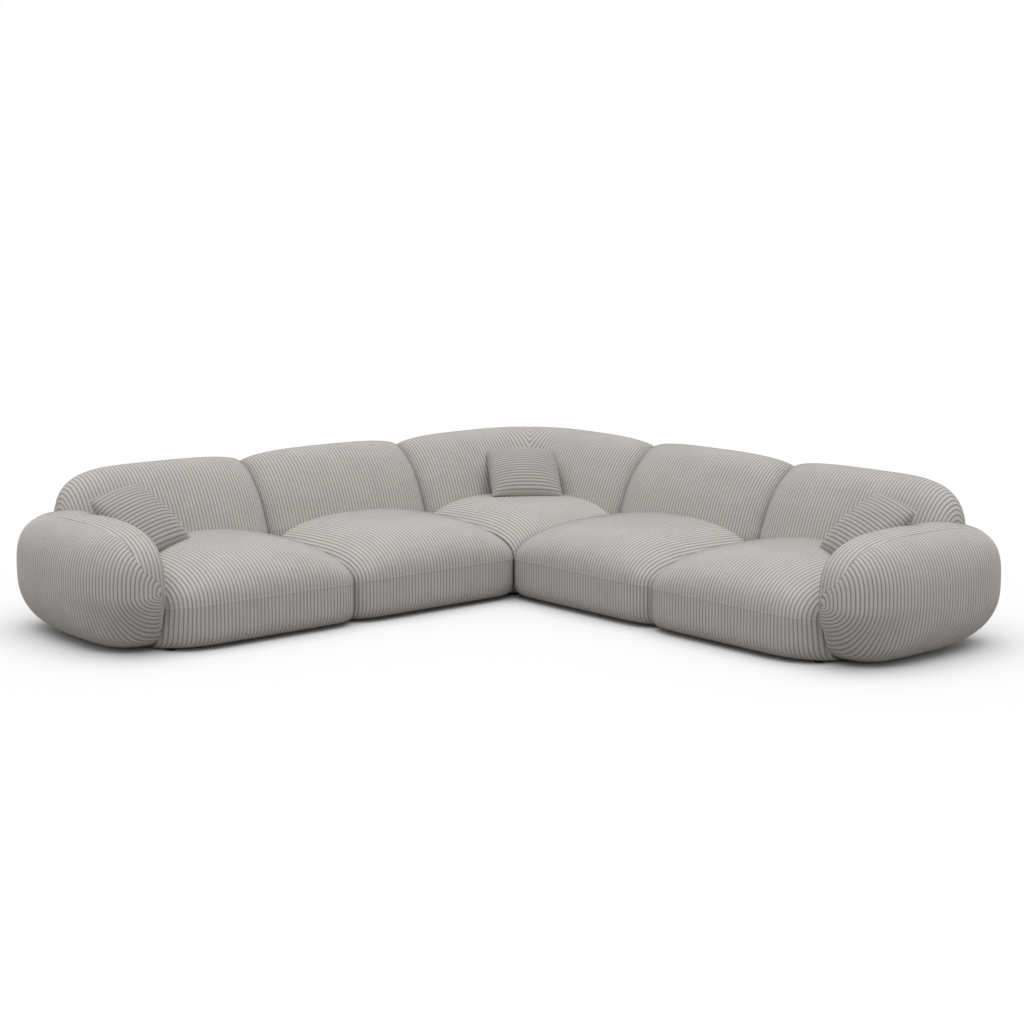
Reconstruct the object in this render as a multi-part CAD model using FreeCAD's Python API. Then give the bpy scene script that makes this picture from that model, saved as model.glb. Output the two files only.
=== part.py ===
"""Corner sofa of five upholstered modules with two arms and three throw pillows.

Frame: +Z up, floor at z = 0, origin in the middle of the floor plan. The outer corner of the sofa is
at (-X, +Y). The left run goes from it along -Y, the right run along +X, and the two runs mirror each
other through the vertical plane through that corner. Each module is drawn in its own frame: x along
the run away from the corner, y from the rear plane to the front, z up.
"""
import FreeCAD, Part
import math
import os

from FreeCAD import Placement, Rotation, Vector

# Floor plan
corner_side = 1070.0
middle_width = 1000.0
end_seat_width = 1030.0
arm_thickness = 230.0
seat_depth = 1120.0

# Heights above the floor
back_height = 740.0
seat_height = 430.0
arm_height = 570.0
widest_height = 200.0
fabric_above_floor = 12.0

# Upholstery forms: a power of 2 is an ellipse, higher ones are squarer
seat_crest_depth = 670.0
seat_crown_power = 2.6
seat_plan_power = 9.0
seat_foot_power = 8.0
seat_foot_plan_power = 14.0
back_core_depth = 190.0
back_core_height = 400.0
back_end_power = 5.0
corner_bend_radius = 500.0
base_inset_at_rear = 10.0
arm_rear_gap = 5.0
arm_front = 1085.0
arm_outline_power = 3.2
arm_foot_outline_power = 5.0
arm_bulge_power = 2.6
arm_foot_power = 6.0
arm_widest_height = 285.0
arm_widest_share = 0.45
arm_inner_bulge = 1.38
arm_outer_bulge = 1.02
pressed_share = 1.03
corner_pressed_share = 1.1

# Clearances
module_gap = 1.0
pad_clearance = 0.3
fit_clearance = 0.5
overcut = 1.0

# Glides and dust cover
glide_height = 22.0
glide_radius = 30.0
glide_foot_radius = 24.0
glide_bevel = 4.0
dust_cover_thickness = 1.0

# Timber seat frame
rail_height = 120.0
rail_thickness = 28.0
rail_inset_at_side = 28.0
rear_rail_depth = 90.0
front_rail_depth = 1010.0
corner_cut = 290.0
corner_block_leg = 70.0
cross_rail_count = 2

# Back frame of plywood plates and timber posts
plate_thickness = 18.0
plate_rear_depth = 60.0
plate_front_depth = 104.0
back_frame_top = 600.0
post_size = 40.0
post_spacing = 300.0
post_end_inset = 10.0

# Arm frame
arm_frame_thickness = 30.0
arm_frame_rear = 190.0
arm_frame_front = 900.0
arm_frame_bottom = 40.0
arm_frame_top = 420.0
arm_stile_width = 45.0
arm_stile_count = 4
arm_inner_foam = 14.0

# Elastic webbing
strap_width = 60.0
strap_thickness = 2.0
strap_gap = 0.3
strap_tail = 10.0
lengthwise_strap_count = 6
crosswise_strap_count = 6
strap_edge_margin = 54.0
weave_slope = 14.0
weave_clear = 28.0
webbing_headroom = 3.0

# Steel connectors between modules
connector_plate = 3.0
connector_length = 90.0
connector_height = 84.0
connector_bottom = 32.0
pocket_rise = 12.0
pocket_slot = 5.0
pocket_wall = 3.0
pocket_width = 62.0
pocket_height = 34.0
hook_thickness = 4.0
hook_width = 50.0
tongue_shortfall = 2.0
connector_front_inset = 130.0
connector_rear_inset = 210.0
screw_radius = 2.2
screw_hole_radius = 2.6
screw_head_radius = 4.6
screw_head_height = 2.4
screw_length = 22.0
screw_inset = 7.0

# Throw pillows: size, then place and tilt of the pair on the ends and of the one in the corner
pillow_side = 370.0
pillow_thickness = 140.0
pillow_edge_power = 2.4
pillow_face_power = 1.15
pillow_seam_share = 0.1
end_pillow_from_arm = 184.0
end_pillow_depth = 525.0
end_pillow_height = 543.4
end_pillow_turn = 18.4
end_pillow_lean = 49.2
end_pillow_roll = 7.3
corner_pillow_along = 519.0
corner_pillow_depth = 504.0
corner_pillow_height = 542.4
corner_pillow_turn = -30.2
corner_pillow_lean = 57.5
corner_pillow_roll = -2.6

# Side view of a back pad: depth from the rear plane and height, round from the rear foot
back_outline = [
    (24, 262), (2, 400), (3, 560), (30, 672), (112, back_height), (205, 712),
    (282, 625), (340, 520), (384, 400), (392, 300), (340, 255), (180, 248),
]

# Places of the sections each form is drawn through, closer together where it rounds off
section_shares = [0.0, 0.35, 0.62, 0.8, 0.9, 0.96, 1.0]
arm_section_shares = [-1.0, -0.6, -0.2, 0.2, 0.5, 0.7, 0.85, 0.94, 1.0]
pillow_section_shares = [-1.0, -0.9, -0.65, -0.35, 0.0, 0.35, 0.65, 0.9, 1.0]
cushion_section_points = 24
pillow_section_points = 16

middle_start = corner_side
end_start = corner_side + middle_width
arm_start = end_start + end_seat_width
overall_length = arm_start + arm_thickness
frame_bottom = glide_height + dust_cover_thickness
rail_top = frame_bottom + rail_height
webbing_top = rail_top + 2 * strap_thickness + strap_gap
frame_room_top = webbing_top + webbing_headroom
cross_rail_top = rail_top - strap_thickness - strap_gap
glide_inset = rail_thickness + corner_block_leg / 3
connector_front_place = front_rail_depth - connector_front_inset
connector_rear_place = rear_rail_depth + connector_rear_inset


def box(x0, x1, y0, y1, z0, z1):
    """Box between two corners."""
    return Part.makeBox(x1 - x0, y1 - y0, z1 - z0, Vector(x0, y0, z0))


def signed_power(value, power):
    """Power that keeps the sign of its base."""
    return math.copysign(abs(value) ** power, value)


def shrink(offset, power):
    """How far a section has shrunk at an offset of 0 to 1 from the middle of a cushion."""
    return (1 - min(abs(offset), 1) ** power) ** (1 / power)


def closed_curve(points):
    """Closed smooth curve through points."""
    curve = Part.BSplineCurve()
    curve.interpolate(Points=points, PeriodicFlag=True)
    return Part.Wire([curve.toShape()])


def loft(sections):
    """Solid cushion through closed sections."""
    return Part.makeLoft(sections, True, False)


def spread(first, last, count):
    """Evenly spaced values, both ends included."""
    return [first + (last - first) * i / (count - 1) for i in range(count)]


def turns(count):
    """Angles of evenly spaced points round a section."""
    return [2 * math.pi * step / count for step in range(count)]


def stations(start, end, centre):
    """Places of a cushion's sections along x."""
    before = [centre - (centre - start) * share for share in reversed(section_shares)]
    after = [centre + (end - centre) * share for share in section_shares[1:]]
    return before + after


def seat_form(start, end, depth, centre, start_reach, end_reach):
    """Crowned seat and base upholstery of one module, before its inner spaces are cut."""
    rise = seat_height - widest_height
    drop = widest_height - fabric_above_floor
    front_reach = depth - seat_crest_depth
    rear_reach = seat_crest_depth - base_inset_at_rear
    sections = []
    for x in stations(start, end, centre):
        reach = start_reach if x < centre else end_reach
        offset = (x - centre) / reach
        plan = shrink(offset, seat_plan_power)
        crown = shrink(offset, seat_crown_power)
        foot = shrink(offset, seat_foot_plan_power)
        points = []
        for angle in turns(cushion_section_points):
            up = math.sin(angle) > 0
            power = 2 / (seat_crown_power if up else seat_foot_power)
            y_reach = front_reach if math.cos(angle) > 0 else rear_reach
            z_reach = rise * crown if up else drop * foot
            y = seat_crest_depth + y_reach * plan * signed_power(math.cos(angle), power)
            z = widest_height + z_reach * signed_power(math.sin(angle), power)
            points.append(Vector(x, y, z))
        sections.append(closed_curve(points))
    return loft(sections)


def back_section(x, scale, grow):
    """Side view of a back pad at x, scaled about its core and grown by a clearance."""
    points = []
    for depth, height in back_outline:
        away = Vector(0, depth - back_core_depth, height - back_core_height)
        size = away.Length
        away = away * ((size * scale + grow) / size)
        points.append(Vector(x, back_core_depth + away.y, back_core_height + away.z))
    return closed_curve(points)


def back_form(start, end, grow):
    """Straight back pad with rounded ends, before its inner space is cut."""
    centre = (start + end) / 2
    reach = (end - start) / 2 * pressed_share
    sections = []
    for x in stations(start, end, centre):
        scale = shrink((x - centre) / reach, back_end_power)
        sections.append(back_section(x, scale, grow))
    return loft(sections)


def back_leg(start, end, grow):
    """One leg of the corner's back pad: plain where it leaves the bend, rounded at its end."""
    reach = (end - start) * pressed_share
    sections = []
    for share in section_shares:
        x = start + (end - start) * share
        sections.append(back_section(x, shrink((x - start) / reach, back_end_power), grow))
    return loft(sections)


def swap_runs(shape):
    """The same shape on the other side of the corner module's own diagonal."""
    return shape.mirror(Vector(0, 0, 0), Vector(1, -1, 0))


def corner_back_form(grow):
    """The corner's back pad: two legs joined by a bend round the outer corner."""
    leg = back_leg(corner_bend_radius, corner_side - module_gap / 2 + grow, grow)
    face = Part.Face(back_section(corner_bend_radius, 1.0, grow))
    centre = Vector(corner_bend_radius, corner_bend_radius, 0)
    bend = face.revolve(centre, Vector(0, 0, 1), -90)
    return bend.fuse([leg, swap_runs(leg)])


def back_frame_room(start, end, clearance):
    """Straight space that a back frame takes inside the upholstery."""
    return box(start - clearance, end + clearance, plate_rear_depth - clearance,
               plate_front_depth + clearance, rail_top - clearance, back_frame_top + clearance)


def ring_sector(inner, outer, bottom, top):
    """Quarter ring round the corner's bend centre."""
    centre = Vector(corner_bend_radius, corner_bend_radius, bottom)
    height = top - bottom
    turn = Rotation(Vector(0, 0, 1), 180)
    whole = Part.makeCylinder(outer, height, Vector(0, 0, 0), Vector(0, 0, 1), 90)
    hole = Part.makeCylinder(inner, height, Vector(0, 0, 0), Vector(0, 0, 1), 90)
    ring = whole.cut(hole)
    ring.Placement = Placement(centre, turn)
    return ring


def corner_strip(end, clearance, bottom, top):
    """Strip that follows the corner's back: two straight legs and the bend between them."""
    rear = plate_rear_depth - clearance
    front = plate_front_depth + clearance
    leg = box(corner_bend_radius, end + clearance, rear, front, bottom, top)
    bend = ring_sector(corner_bend_radius - front, corner_bend_radius - rear, bottom, top)
    return bend.fuse([leg, swap_runs(leg)]).removeSplitter()


def seat_frame_room(x0, x1):
    """Space under the seat pad for the seat frame, open below and at both ends."""
    return box(x0, x1, plate_rear_depth - pad_clearance, front_rail_depth + pad_clearance,
               -pad_clearance, frame_room_top)


def pad_ends(start, end, arm_end):
    """Where a straight module's pads begin and stop, clear of the next module or of the arm's pad."""
    last_gap = arm_inner_foam + pad_clearance if arm_end else module_gap / 2
    return start + module_gap / 2, end - last_gap


def frame_ends(start, end, arm_end):
    """Where a straight module's frame begins and stops; at an arm it meets the arm's frame."""
    last = pad_ends(start, end, arm_end)[1] if arm_end else end - rail_inset_at_side
    return start + rail_inset_at_side, last


def straight_seat_pad(start, end, arm_end):
    """Seat pad of a middle or end module."""
    first, last = pad_ends(start, end, arm_end)
    centre = (first + last) / 2
    reach = (last - first) / 2 * pressed_share
    pad = seat_form(first, last, seat_depth, centre, reach, reach)
    room = seat_frame_room(first - overcut, last + overcut)
    back = back_form(first - overcut, last + overcut, pad_clearance)
    posts = back_frame_room(start + rail_inset_at_side, end - rail_inset_at_side, pad_clearance)
    return pad.cut([room, back, posts])


def straight_back_pad(start, end, arm_end):
    """Back pad of a middle or end module."""
    first, last = pad_ends(start, end, arm_end)
    pad = back_form(first, last, 0)
    room = back_frame_room(start + rail_inset_at_side, end - rail_inset_at_side, pad_clearance)
    return pad.cut(room)


def corner_back_frame_room():
    """Strip that the corner's back frame takes inside the upholstery."""
    return corner_strip(corner_side - rail_inset_at_side, pad_clearance, rail_top - pad_clearance,
                        back_frame_top + pad_clearance)


def corner_seat_pad():
    """Seat pad of the corner module, rounded at the sofa's outer corner."""
    first = base_inset_at_rear
    last = corner_side - module_gap / 2
    bend = corner_bend_radius
    centre = seat_crest_depth
    form = seat_form(first, last, corner_side * pressed_share, centre, (centre - first) * pressed_share,
                     (last - centre) * corner_pressed_share)
    round_corner = Part.makeCylinder(bend - first, back_height, Vector(bend, bend, 0))
    plan = round_corner.fuse([box(bend, last, first, last, 0, back_height),
                              box(first, last, bend, last, 0, back_height)])
    spaces = [corner_seat_frame_room(), corner_back_form(pad_clearance), corner_back_frame_room()]
    return form.common(plan).cut(spaces)


def corner_plan(rear, front, cut):
    """Square plan with its rear corner cut off, as a closed wire at the frame's underside."""
    corners = [(cut, rear), (front, rear), (front, front), (rear, front), (rear, cut)]
    points = [Vector(x, y, frame_bottom) for x, y in corners]
    return Part.makePolygon(points + [points[0]])


def corner_seat_frame_room():
    """Space under the corner's seat pad, open towards both runs."""
    rear = plate_rear_depth - pad_clearance
    front = corner_side + pad_clearance
    wire = corner_plan(rear, front, rear + corner_cut)
    prism = Part.Face(wire).extrude(Vector(0, 0, frame_room_top + pad_clearance))
    prism.translate(Vector(0, 0, -frame_bottom - pad_clearance))
    return prism


def corner_block(x, y, turn_x, turn_y):
    """Glued timber block in a corner of the seat frame."""
    leg = corner_block_leg
    points = [Vector(x, y, frame_bottom), Vector(x + turn_x * leg, y, frame_bottom),
              Vector(x, y + turn_y * leg, frame_bottom)]
    face = Part.Face(Part.makePolygon(points + [points[0]]))
    return face.extrude(Vector(0, 0, cross_rail_top - frame_bottom))


def straight_seat_frame(start, end, arm_end):
    """Butt-jointed rails, cross rails and corner blocks of a straight module."""
    x0, x1 = frame_ends(start, end, arm_end)
    y0 = rear_rail_depth
    y1 = front_rail_depth
    t = rail_thickness
    z0 = frame_bottom
    z1 = rail_top
    pieces = [box(x0, x1, y0, y0 + t, z0, z1), box(x0, x1, y1 - t, y1, z0, z1),
              box(x0, x0 + t, y0 + t, y1 - t, z0, z1), box(x1 - t, x1, y0 + t, y1 - t, z0, z1)]
    for x in spread(x0, x1 - t, cross_rail_count + 2)[1:-1]:
        pieces.append(box(x, x + t, y0 + t, y1 - t, z0, cross_rail_top))
    for x, turn_x in ((x0 + t, 1), (x1 - t, -1)):
        for y, turn_y in ((y0 + t, 1), (y1 - t, -1)):
            pieces.append(corner_block(x, y, turn_x, turn_y))
    return Part.makeCompound(pieces)


def corner_seat_frame():
    """Rails of the corner module, with a diagonal rail across the sofa's outer corner."""
    rear = rear_rail_depth
    front = corner_side - rail_inset_at_side
    cut = rear + corner_cut
    t = rail_thickness
    outer = Part.Face(corner_plan(rear, front, cut))
    inner = outer.makeOffset2D(-t)
    ring = outer.cut(inner).extrude(Vector(0, 0, rail_height))
    pieces = [ring]
    for y in (cut + t, (cut + front) / 2):
        pieces.append(box(rear + t, front - t, y, y + t, frame_bottom, cross_rail_top))
    pieces.append(corner_block(front - t, front - t, -1, -1))
    return Part.makeCompound(pieces)


def flat_strap(place, first, last):
    """Strap along y, stapled on both rails."""
    return box(place - strap_width / 2, place + strap_width / 2, first - strap_tail, last + strap_tail,
               rail_top, rail_top + strap_thickness)


def woven_strap(place, first, last, crossed, over_first):
    """Strap along x that passes over and under the straps it crosses, as one bent band."""
    level = rail_top + strap_thickness / 2
    step = strap_thickness + strap_gap
    ramp = (strap_width + weave_slope) / 2
    line = [(first - strap_tail, level + step), (first + strap_tail, level + step)]
    over = over_first
    for x in crossed:
        height = level + (step if over else -step)
        line += [(x - ramp, height), (x + ramp, height)]
        over = not over
    line += [(last - strap_tail, level + step), (last + strap_tail, level + step)]
    half = strap_thickness / 2
    top = [Vector(x, place - strap_width / 2, z + half) for x, z in line]
    bottom = [Vector(x, place - strap_width / 2, z - half) for x, z in reversed(line)]
    wire = Part.makePolygon(top + bottom + [top[0]])
    return Part.Face(wire).extrude(Vector(0, strap_width, 0))


def webbing(x0, x1, y0, y1, start_along, start_across):
    """Plain weave of elastic straps, stretched from rail to rail and stapled on the rails."""
    half = strap_width / 2
    margin = rail_thickness + strap_edge_margin
    xs = spread(x0 + margin, x1 - margin, lengthwise_strap_count)
    ys = spread(y0 + margin, y1 - margin, crosswise_strap_count)
    straps = [flat_strap(x, start_along(x), y1 - rail_thickness) for x in xs]
    for i, y in enumerate(ys):
        first = start_across(y)
        crossed = [x for x in xs if x - half - first > weave_clear and start_along(x) < y - half]
        straps.append(woven_strap(y, first, x1 - rail_thickness, crossed, i % 2 == 0))
    return Part.makeCompound(straps)


def straight_webbing(start, end, arm_end):
    """Webbing of a middle or end module."""
    x0, x1 = frame_ends(start, end, arm_end)
    along = lambda place: rear_rail_depth + rail_thickness
    across = lambda place: x0 + rail_thickness
    return webbing(x0, x1, rear_rail_depth, front_rail_depth, along, across)


def corner_webbing():
    """Webbing of the corner module, shorter where the diagonal rail crosses the frame."""
    rear = rear_rail_depth
    front = corner_side - rail_inset_at_side
    cut_line = 2 * rear + corner_cut + rail_thickness * math.sqrt(2)

    def rail_edge(place):
        return max(rear + rail_thickness, cut_line - place + strap_width / 2)

    return webbing(rear, front, rear, front, rail_edge, rail_edge)


def back_posts(places):
    """Timber posts of a straight back frame."""
    middle = (plate_rear_depth + plate_front_depth) / 2
    half = post_size / 2
    z0 = rail_top + plate_thickness
    z1 = back_frame_top - plate_thickness
    return [box(x - half, x + half, middle - half, middle + half, z0, z1) for x in places]


def straight_back_frame(start, end):
    """Two plywood plates with posts between them, on the rear rail."""
    x0 = start + rail_inset_at_side
    x1 = end - rail_inset_at_side
    count = math.ceil((x1 - x0) / post_spacing) + 1
    inset = post_size / 2 + post_end_inset
    low = box(x0, x1, plate_rear_depth, plate_front_depth, rail_top, rail_top + plate_thickness)
    high = box(x0, x1, plate_rear_depth, plate_front_depth, back_frame_top - plate_thickness,
               back_frame_top)
    return Part.makeCompound([low, high] + back_posts(spread(x0 + inset, x1 - inset, count)))


def corner_back_frame():
    """Bent plywood plates with posts along both legs and round the bend."""
    end = corner_side - rail_inset_at_side
    low = corner_strip(end, 0, rail_top, rail_top + plate_thickness)
    high = corner_strip(end, 0, back_frame_top - plate_thickness, back_frame_top)
    inset = post_size / 2 + post_end_inset
    straight = back_posts(spread(corner_bend_radius + inset, end - inset, 3))
    bent = []
    for angle in (90 / 4, 90 * 3 / 4):
        post = back_posts([corner_bend_radius])[0]
        post.rotate(Vector(corner_bend_radius, corner_bend_radius, 0), Vector(0, 0, 1), -angle)
        bent.append(post)
    return Part.makeCompound([low, high] + straight + [swap_runs(p) for p in straight] + bent)


def glide(x, y):
    """Round plastic glide: a tapered foot with a bevelled sole."""
    profile = [Vector(0, 0, 0), Vector(glide_foot_radius - glide_bevel, 0, 0),
               Vector(glide_foot_radius, 0, glide_bevel), Vector(glide_radius, 0, glide_height),
               Vector(0, 0, glide_height)]
    face = Part.Face(Part.makePolygon(profile + [profile[0]]))
    solid = face.revolve(Vector(0, 0, 0), Vector(0, 0, 1))
    solid.translate(Vector(x, y, 0))
    return solid


def straight_glides(start, end):
    """Glides under the corners of a straight module's frame."""
    x0 = start + rail_inset_at_side + glide_inset
    x1 = end - rail_inset_at_side - glide_inset
    ys = (rear_rail_depth + glide_inset, front_rail_depth - glide_inset)
    return Part.makeCompound([glide(x, y) for x in (x0, x1) for y in ys])


def corner_glides():
    """Glides under the corners of the corner module's frame."""
    near = rear_rail_depth + glide_inset
    far = corner_side - rail_inset_at_side - glide_inset
    diagonal = near + corner_cut / 2
    return Part.makeCompound([glide(far, near), glide(far, far), glide(near, far),
                              glide(diagonal, diagonal)])


def straight_dust_cover(start, end, arm_end):
    """Cloth under a straight module's frame."""
    x0, x1 = frame_ends(start, end, arm_end)
    return box(x0, x1, rear_rail_depth, front_rail_depth, glide_height, frame_bottom)


def corner_dust_cover():
    """Cloth under the corner module's frame."""
    wire = corner_plan(rear_rail_depth, corner_side - rail_inset_at_side, rear_rail_depth + corner_cut)
    sheet = Part.Face(wire).extrude(Vector(0, 0, dust_cover_thickness))
    sheet.translate(Vector(0, 0, -dust_cover_thickness))
    return sheet


def screw_places(y):
    """Depth and height of the four screws of a connector plate centred at y."""
    half = connector_length / 2 - screw_inset
    low = connector_bottom + screw_inset
    high = connector_bottom + connector_height - screw_inset
    return [(y + side * half, z) for side in (-1, 1) for z in (low, high)]


def connector_plate_at(x, y):
    """Drilled steel plate with its back at x, centred at y."""
    plate = box(x, x + connector_plate, y - connector_length / 2, y + connector_length / 2,
                connector_bottom, connector_bottom + connector_height)
    axis = Vector(1, 0, 0)
    holes = [Part.makeCylinder(screw_hole_radius, connector_plate, Vector(x, hole_y, z), axis)
             for hole_y, z in screw_places(y)]
    return plate.cut(holes)


def screws(x, direction, places):
    """Pan-head screws with their heads on the plate face at x, driven along direction."""
    result = []
    for y, z in places:
        at = Vector(x, y, z)
        head = Part.makeCylinder(screw_head_radius, screw_head_height, at, Vector(-direction, 0, 0))
        shank = Part.makeCylinder(screw_radius, screw_length, at, Vector(direction, 0, 0))
        result.append(head.fuse(shank).removeSplitter())
    return result


def pocket_plates(rail_face):
    """Steel plates on the rail of the module nearer the corner, each with a pocket open at its top."""
    bottom = connector_bottom + pocket_rise
    top = bottom + pocket_height
    outer = pocket_width / 2
    inner = outer - pocket_wall
    x1 = rail_face + connector_plate
    x2 = x1 + pocket_slot
    plates = []
    for y in (connector_rear_place, connector_front_place):
        pocket = box(x1, x2 + pocket_wall, y - outer, y + outer, bottom, top)
        slot = box(x1, x2, y - inner, y + inner, bottom, top)
        plates.append(connector_plate_at(rail_face, y).fuse(pocket.cut(slot)).removeSplitter())
    return Part.makeCompound(plates)


def hook_plates(pocket_rail_face, own_rail_face):
    """Steel plates on the neighbour's rail, each with a hook that drops into a pocket."""
    bottom = connector_bottom + pocket_rise
    rim = bottom + pocket_height + fit_clearance
    half = hook_width / 2
    x0 = pocket_rail_face + connector_plate + fit_clearance
    x1 = own_rail_face - connector_plate
    plates = []
    for y in (connector_rear_place, connector_front_place):
        shelf = box(x0, x1, y - half, y + half, rim, rim + hook_thickness)
        tongue = box(x0, x0 + hook_thickness, y - half, y + half, bottom + tongue_shortfall, rim)
        plates.append(connector_plate_at(x1, y).fuse([shelf, tongue]).removeSplitter())
    return Part.makeCompound(plates)


def connector_screws(face, direction):
    """Screws of both connector plates on one rail."""
    places = screw_places(connector_rear_place) + screw_places(connector_front_place)
    return screws(face, direction, places)


def arm_pad():
    """Upholstered arm: a bean-shaped slab, pressed flat against the seat pad's side."""
    inner = arm_start - arm_inner_foam
    outer = overall_length
    middle = inner + (outer - inner) * arm_widest_share
    rise = arm_height - arm_widest_height
    drop = arm_widest_height - fabric_above_floor
    half_depth = (arm_front - arm_rear_gap) / 2
    centre = (arm_front + arm_rear_gap) / 2
    sections = []
    for share in arm_section_shares:
        inside = share < 0
        x = middle + share * (middle - inner if inside else outer - middle)
        offset = share / (arm_inner_bulge if inside else arm_outer_bulge)
        scale = shrink(offset, arm_bulge_power)
        low_scale = shrink(offset, arm_foot_power if inside else arm_bulge_power)
        points = []
        for angle in turns(cushion_section_points):
            up = math.sin(angle) > 0
            power = 2 / (arm_outline_power if up else arm_foot_outline_power)
            z_reach = rise * scale if up else drop * low_scale
            y = centre + half_depth * scale * signed_power(math.cos(angle), power)
            z = arm_widest_height + z_reach * signed_power(math.sin(angle), power)
            points.append(Vector(x, y, z))
        sections.append(closed_curve(points))
    y0 = arm_frame_rear - pad_clearance
    y1 = arm_frame_front + pad_clearance
    x1 = arm_start + arm_frame_thickness + pad_clearance
    low_room = box(inner - overcut, x1, y0, y1, 0, frame_room_top)
    high_room = box(arm_start - pad_clearance, x1, y0, y1, 0, arm_frame_top + pad_clearance)
    return loft(sections).cut([low_room, high_room])


def arm_frame():
    """Timber frame of an arm; its wide lowest rail is bolted to the end module's side rail."""
    x0 = arm_start
    x1 = arm_start + arm_frame_thickness
    rear = arm_frame_rear
    front = arm_frame_front
    w = arm_stile_width
    foot_top = arm_frame_bottom + w
    low = box(arm_start - arm_inner_foam - pad_clearance, x1, rear, front, arm_frame_bottom, foot_top)
    high = box(x0, x1, rear, front, arm_frame_top - w, arm_frame_top)
    stiles = [box(x0, x1, y, y + w, foot_top, arm_frame_top - w)
              for y in spread(rear, front - w, arm_stile_count)]
    return Part.makeCompound([low, high] + stiles)


def throw_pillow(along, depth, height, turn, lean, roll):
    """Square pillow, thick in the middle and thin at its seams, leaning back at its place."""
    half = pillow_side / 2
    sections = []
    for share in pillow_section_shares:
        bulge = max(shrink(share, pillow_edge_power), pillow_seam_share)
        points = []
        for angle in turns(pillow_section_points):
            z = pillow_thickness / 2 * bulge * signed_power(math.sin(angle), pillow_face_power)
            points.append(Vector(share * half, half * math.cos(angle), z))
        sections.append(closed_curve(points))
    pillow = loft(sections)
    upright = Rotation(Vector(1, 0, 0), lean - 90)
    turned = Rotation(Vector(0, 0, 1), turn)
    rolled = Rotation(Vector(0, 0, 1), roll)
    pillow.Placement = Placement(Vector(along, depth, height), turned * upright * rolled)
    return pillow


def to_left_run(shape):
    """From a module's own frame to its place in the left run."""
    placed = shape.copy()
    placed.rotate(Vector(0, 0, 0), Vector(0, 0, 1), -90)
    placed.translate(Vector(-overall_length / 2, overall_length / 2, 0))
    return placed


def to_right_run(shape):
    """From a module's own frame to its place in the right run."""
    return to_left_run(shape).mirror(Vector(0, 0, 0), Vector(1, 1, 0))


def build():
    """All nodes by name."""
    corner = to_left_run
    pocket_face = corner_side - rail_inset_at_side
    pockets = pocket_plates(pocket_face)
    pocket_screws = Part.makeCompound(connector_screws(pocket_face + connector_plate, -1))
    pillow = throw_pillow(corner_pillow_along, corner_pillow_depth, corner_pillow_height,
                          corner_pillow_turn, corner_pillow_lean, corner_pillow_roll)
    nodes = {
        "corner_seat_pad": corner(corner_seat_pad()),
        "corner_back_pad": corner(corner_back_form(0).cut(corner_back_frame_room())),
        "corner_seat_frame": corner(corner_seat_frame()),
        "corner_back_frame": corner(corner_back_frame()),
        "corner_webbing": corner(corner_webbing()),
        "corner_glides": corner(corner_glides()),
        "corner_dust_cover": corner(corner_dust_cover()),
        "corner_throw_pillow": corner(pillow),
        "corner_connector_pockets": Part.makeCompound([to_left_run(pockets), to_right_run(pockets)]),
        "corner_connector_screws": Part.makeCompound(
            [to_left_run(pocket_screws), to_right_run(pocket_screws)]),
    }
    for side, place in (("left", to_left_run), ("right", to_right_run)):
        for kind, start, end, arm_end in (("middle", middle_start, end_start, False),
                                          ("end", end_start, arm_start, True)):
            name = side + "_" + kind
            nodes[name + "_seat_pad"] = place(straight_seat_pad(start, end, arm_end))
            nodes[name + "_back_pad"] = place(straight_back_pad(start, end, arm_end))
            nodes[name + "_seat_frame"] = place(straight_seat_frame(start, end, arm_end))
            nodes[name + "_back_frame"] = place(straight_back_frame(start, end))
            nodes[name + "_webbing"] = place(straight_webbing(start, end, arm_end))
            nodes[name + "_glides"] = place(straight_glides(start, end))
            nodes[name + "_dust_cover"] = place(straight_dust_cover(start, end, arm_end))
            own_face = start + rail_inset_at_side
            hooks = hook_plates(start - rail_inset_at_side, own_face)
            nodes[name + "_connector_hooks"] = place(hooks)
            own_screws = connector_screws(own_face - connector_plate, 1)
            if not arm_end:
                face = end - rail_inset_at_side
                nodes[name + "_connector_pockets"] = place(pocket_plates(face))
                own_screws += connector_screws(face + connector_plate, -1)
            nodes[name + "_connector_screws"] = place(Part.makeCompound(own_screws))
        nodes[side + "_arm_pad"] = place(arm_pad())
        nodes[side + "_throw_pillow"] = place(
            throw_pillow(arm_start - end_pillow_from_arm, end_pillow_depth, end_pillow_height,
                         end_pillow_turn, end_pillow_lean, end_pillow_roll))
        nodes[side + "_arm_frame"] = place(arm_frame())
    return nodes


if __name__ == "__main__":
    os.makedirs("parts", exist_ok=True)
    for node, shape in build().items():
        shape.exportStep("parts/" + node + ".step")
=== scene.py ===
import math
import bmesh
import bpy
import numpy as np
from mathutils import Matrix, Vector


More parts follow.
